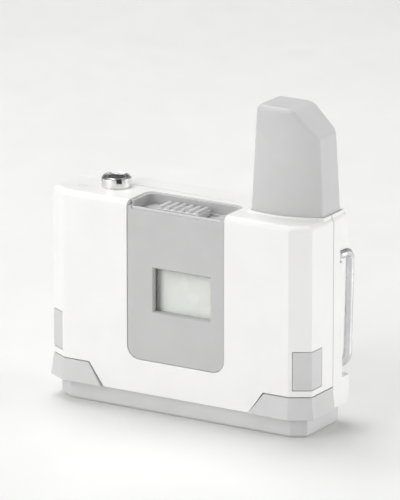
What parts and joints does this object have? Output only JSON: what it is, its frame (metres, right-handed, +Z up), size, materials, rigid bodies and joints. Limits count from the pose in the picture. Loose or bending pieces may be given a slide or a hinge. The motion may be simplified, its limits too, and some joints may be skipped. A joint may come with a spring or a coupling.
{
  "type": "wireless bodypack transmitter",
  "caption": "Belt-worn radio transmitter: slim two-part housing, display, jack socket, stub antenna, slide mute switch, wire clip and latched plug-in battery.",
  "frame": {"origin": "on the standing face under the middle of the battery foot, at the centre of the object's width and depth", "axes": "+Z up along the antenna, front face towards -Y, +X to the antenna's side"},
  "size_m": [0.0652, 0.0216, 0.07],
  "materials": {
    "shell_white": "fine matt moulded texture",
    "panel_grey": "satin moulded",
    "antenna_grey": "soft matt",
    "button_grey": "satin moulded",
    "clear_window": "clear plastic",
    "display": "blank liquid crystal display",
    "diffuser": "milky",
    "foam_black": "closed-cell foam",
    "black_plastic": "moulded",
    "plated_nut": "nickel plate",
    "contact_gold": "gold plated",
    "circuit_board": "solder mask",
    "spring_steel": "drawn wire",
    "screw_steel": "zinc plated",
    "shield_tin": "tinned sheet",
    "cell_foil": "foil pouch",
    "connector_cream": "moulded nylon"
  },
  "bodies": {
    "housing": {"front_shell": "shell_white", "rear_shell": "shell_white", "front_panel": "panel_grey", "display_window": "clear_window", "display_gasket": "foam_black", "lcd_glass": "display", "lcd_backlight": "diffuser", "mute_switch": "black_plastic", "jack_socket": "black_plastic", "jack_ring_nut": "plated_nut", "jack_contacts": "contact_gold", "antenna_cover": "antenna_grey", "antenna_board": "circuit_board", "antenna_contact": "contact_gold", "status_light_pipe": "clear_window", "status_led": "diffuser", "latch_spring_left": "spring_steel", "latch_spring_right": "spring_steel", "contact_block": "black_plastic", "contact_pins": "contact_gold", "inner_frame": "black_plastic", "main_board": "circuit_board", "board_chips": "black_plastic", "processor_shield": "shield_tin", "board_connector": "connector_cream", "rf_board": "circuit_board", "rf_shield": "shield_tin", "rear_screws": "screw_steel", "board_screws": "screw_steel"},
    "battery": {"battery_foot": "button_grey", "battery_case": "black_plastic", "battery_cell": "cell_foil", "battery_protection_board": "circuit_board", "battery_terminals": "contact_gold", "charge_contacts": "contact_gold"},
    "mute_slider": {"mute_slider": "panel_grey"},
    "latch_left": {"latch_button_left": "button_grey"},
    "latch_right": {"latch_button_right": "button_grey"},
    "clip": {"belt_clip": "spring_steel"}
  },
  "joints": [
    {"name": "battery_slide", "type": "slide", "parent": "battery", "child": "housing", "axis": [0, 0, 1], "range_m": [0, 0.03]},
    {"name": "mute_slide", "type": "slide", "parent": "housing", "child": "mute_slider", "axis": [1, 0, 0], "range_m": [0, 0.002]},
    {"name": "latch_left_press", "type": "slide", "parent": "housing", "child": "latch_left", "axis": [1, 0, 0], "range_m": [0, 0.0012], "stiffness_N_per_m": 1500, "springref_m": -0.0006, "deforming": ["latch_spring_left"]},
    {"name": "latch_right_press", "type": "slide", "parent": "housing", "child": "latch_right", "axis": [-1, 0, 0], "range_m": [0, 0.0012], "stiffness_N_per_m": 1500, "springref_m": -0.0006, "deforming": ["latch_spring_right"]},
    {"name": "clip_swing", "type": "hinge", "parent": "housing", "child": "clip", "pos_m": [0, 0.0054, 0.0371], "axis": [1, 0, 0], "range_deg": [0, 25], "stiffness_Nm_per_rad": 0.25, "springref_deg": -5.73}
  ]
}
